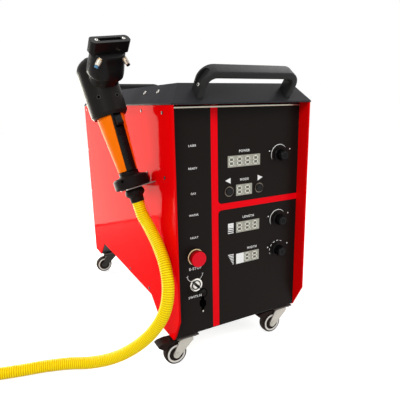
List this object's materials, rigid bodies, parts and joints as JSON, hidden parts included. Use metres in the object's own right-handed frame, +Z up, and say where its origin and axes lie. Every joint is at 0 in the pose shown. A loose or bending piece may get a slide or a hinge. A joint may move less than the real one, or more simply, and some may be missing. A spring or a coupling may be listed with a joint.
{
  "type": "laser cleaning machine",
  "caption": "Wheeled red and black cabinet with control panel, hand-held laser cleaning gun in a side holder and a yellow ribbed hose.",
  "frame": {"origin": "on the floor under the middle of the machine's box, measured without its hose", "axes": "+X to the machine's right as seen from the front, +Y from the control panel to the rear, +Z up"},
  "size_m": [1.0615, 0.8521, 0.6731],
  "materials": {
    "red_paint": "gloss",
    "black_paint": "satin",
    "graphite_film": "gloss",
    "bright_steel": "brushed",
    "zinc": "bright",
    "black_plastic": "satin",
    "display_face": "satin",
    "yellow_plastic": "gloss",
    "red_plastic": "gloss",
    "tyre_rubber": "matte",
    "pedal_plastic": "satin",
    "gun_black": "satin",
    "orange_grip": "satin",
    "brass": "satin",
    "yellow_hose": "satin",
    "grey_metal": "satin"
  },
  "bodies": {
    "cabinet": {"side_panel_left": "red_paint", "side_panel_right": "red_paint", "base_pan": "black_paint", "front_panel": "red_paint", "front_films": "graphite_film", "trim_strip": "bright_steel", "roof_cover": "black_paint", "front_handle": "black_plastic", "rear_handle": "black_plastic", "panel_screws": "zinc", "power_display": "display_face", "mode_display": "display_face", "length_display": "display_face", "width_display": "display_face", "button_bezels": "bright_steel", "potentiometers": "bright_steel", "stop_base": "yellow_plastic", "key_switch": "bright_steel", "castor_plates": "zinc", "gun_holder": "bright_steel", "hose": "yellow_hose", "hose_coil": "yellow_hose", "hose_connector": "gun_black", "rear_panel": "black_paint", "fan_frame": "black_plastic", "fan_grille": "zinc", "power_inlet": "black_plastic", "gas_inlet": "brass", "laser_source": "grey_metal", "power_supply": "grey_metal"},
    "button_left": {"button_left": "black_plastic"},
    "button_right": {"button_right": "black_plastic"},
    "knob_power": {"knob_power": "black_plastic"},
    "knob_length": {"knob_length": "black_plastic"},
    "knob_width": {"knob_width": "black_plastic"},
    "stop_stem": {"stop_stem": "black_plastic"},
    "stop_head": {"stop_head": "red_plastic"},
    "main_key": {"main_key": "black_plastic"},
    "spare_key": {"spare_key": "black_plastic"},
    "gun": {"gun_body": "gun_black", "gun_barrel": "gun_black", "gun_nozzle": "gun_black", "air_fittings": "zinc", "gun_grip": "orange_grip", "gun_spine": "black_plastic", "gun_disc": "black_plastic", "gun_tail": "black_plastic"},
    "gun_trigger": {"gun_trigger": "black_plastic"},
    "fan_rotor": {"fan_rotor": "black_plastic"},
    "power_rocker": {"power_rocker": "red_plastic"},
    "fork_front_left": {"fork_front_left": "zinc"},
    "wheel_front_left": {"wheel_front_left": "tyre_rubber"},
    "fork_front_right": {"fork_front_right": "zinc"},
    "wheel_front_right": {"wheel_front_right": "tyre_rubber"},
    "fork_rear_left": {"fork_rear_left": "zinc"},
    "wheel_rear_left": {"wheel_rear_left": "tyre_rubber"},
    "fork_rear_right": {"fork_rear_right": "zinc"},
    "wheel_rear_right": {"wheel_rear_right": "tyre_rubber"},
    "pedal_left": {"pedal_left": "pedal_plastic"},
    "pedal_right": {"pedal_right": "pedal_plastic"}
  },
  "joints": [
    {"name": "castor_swivel_front_left", "type": "hinge", "parent": "cabinet", "child": "fork_front_left", "pos_m": [-0.0665, -0.288, 0.064], "axis": [0, 0, 1], "continuous": true},
    {"name": "wheel_spin_front_left", "type": "hinge", "parent": "fork_front_left", "child": "wheel_front_left", "pos_m": [-0.0895, -0.288, 0.025], "axis": [0, 1, 0], "continuous": true},
    {"name": "castor_swivel_front_right", "type": "hinge", "parent": "cabinet", "child": "fork_front_right", "pos_m": [0.1875, -0.288, 0.064], "axis": [0, 0, 1], "continuous": true},
    {"name": "wheel_spin_front_right", "type": "hinge", "parent": "fork_front_right", "child": "wheel_front_right", "pos_m": [0.1645, -0.288, 0.025], "axis": [0, 1, 0], "continuous": true},
    {"name": "castor_swivel_rear_left", "type": "hinge", "parent": "cabinet", "child": "fork_rear_left", "pos_m": [-0.0665, 0.288, 0.064], "axis": [0, 0, 1], "continuous": true},
    {"name": "wheel_spin_rear_left", "type": "hinge", "parent": "fork_rear_left", "child": "wheel_rear_left", "pos_m": [-0.0895, 0.288, 0.025], "axis": [0, 1, 0], "continuous": true},
    {"name": "castor_swivel_rear_right", "type": "hinge", "parent": "cabinet", "child": "fork_rear_right", "pos_m": [0.1875, 0.288, 0.064], "axis": [0, 0, 1], "continuous": true},
    {"name": "wheel_spin_rear_right", "type": "hinge", "parent": "fork_rear_right", "child": "wheel_rear_right", "pos_m": [0.1645, 0.288, 0.025], "axis": [0, 1, 0], "continuous": true},
    {"name": "brake_pedal_left", "type": "hinge", "parent": "fork_front_left", "child": "pedal_left", "pos_m": [-0.0805, -0.288, 0.053], "axis": [0, -1, 0], "range_deg": [0, 8]},
    {"name": "brake_pedal_right", "type": "hinge", "parent": "fork_front_right", "child": "pedal_right", "pos_m": [0.1735, -0.288, 0.053], "axis": [0, -1, 0], "range_deg": [0, 8]},
    {"name": "button_press_left", "type": "slide", "parent": "cabinet", "child": "button_left", "axis": [0, 1, 0], "range_m": [0, 0.0025], "stiffness_N_per_m": 300, "springref_m": -0.001},
    {"name": "button_press_right", "type": "slide", "parent": "cabinet", "child": "button_right", "axis": [0, 1, 0], "range_m": [0, 0.0025], "stiffness_N_per_m": 300, "springref_m": -0.001},
    {"name": "power_knob_turn", "type": "hinge", "parent": "cabinet", "child": "knob_power", "pos_m": [0.1645, -0.318, 0.435], "axis": [0, -1, 0], "range_deg": [-135, 135]},
    {"name": "length_knob_turn", "type": "hinge", "parent": "cabinet", "child": "knob_length", "pos_m": [0.1645, -0.318, 0.29], "axis": [0, -1, 0], "range_deg": [-135, 135]},
    {"name": "width_knob_turn", "type": "hinge", "parent": "cabinet", "child": "knob_width", "pos_m": [0.1645, -0.318, 0.2175], "axis": [0, -1, 0], "range_deg": [-135, 135]},
    {"name": "emergency_stop_press", "type": "slide", "parent": "cabinet", "child": "stop_stem", "axis": [0, 1, 0], "range_m": [0, 0.004]},
    {"name": "emergency_stop_twist", "type": "hinge", "parent": "stop_stem", "child": "stop_head", "pos_m": [-0.046, -0.328, 0.2415], "axis": [0, 1, 0], "range_deg": [0, 30], "stiffness_Nm_per_rad": 0.02},
    {"name": "key_turn", "type": "hinge", "parent": "cabinet", "child": "main_key", "pos_m": [-0.046, -0.323, 0.18], "axis": [0, 1, 0], "range_deg": [0, 90]},
    {"name": "spare_key_swing", "type": "hinge", "parent": "cabinet", "child": "spare_key", "pos_m": [-0.046, -0.3396, 0.18], "axis": [0, 1, 0], "range_deg": [-40, 40]},
    {"name": "gun_lift", "type": "slide", "parent": "cabinet", "child": "gun", "axis": [-0.1816, 0.247, 0.9519], "range_m": [0, 0.04], "deforming": ["hose"]},
    {"name": "trigger_pull", "type": "hinge", "parent": "gun", "child": "gun_trigger", "pos_m": [-0.16143, -0.20917, 0.52247], "axis": [0.969, 0.2097, 0.1304], "range_deg": [0, 12], "stiffness_Nm_per_rad": 0.2, "springref_deg": -5.73},
    {"name": "fan_spin", "type": "hinge", "parent": "cabinet", "child": "fan_rotor", "pos_m": [0.0605, 0.312, 0.42], "axis": [0, 1, 0], "continuous": true},
    {"name": "power_rocker_tilt", "type": "hinge", "parent": "cabinet", "child": "power_rocker", "pos_m": [0.1505, 0.324, 0.16], "axis": [1, 0, 0], "range_deg": [-20, 0]}
  ]
}
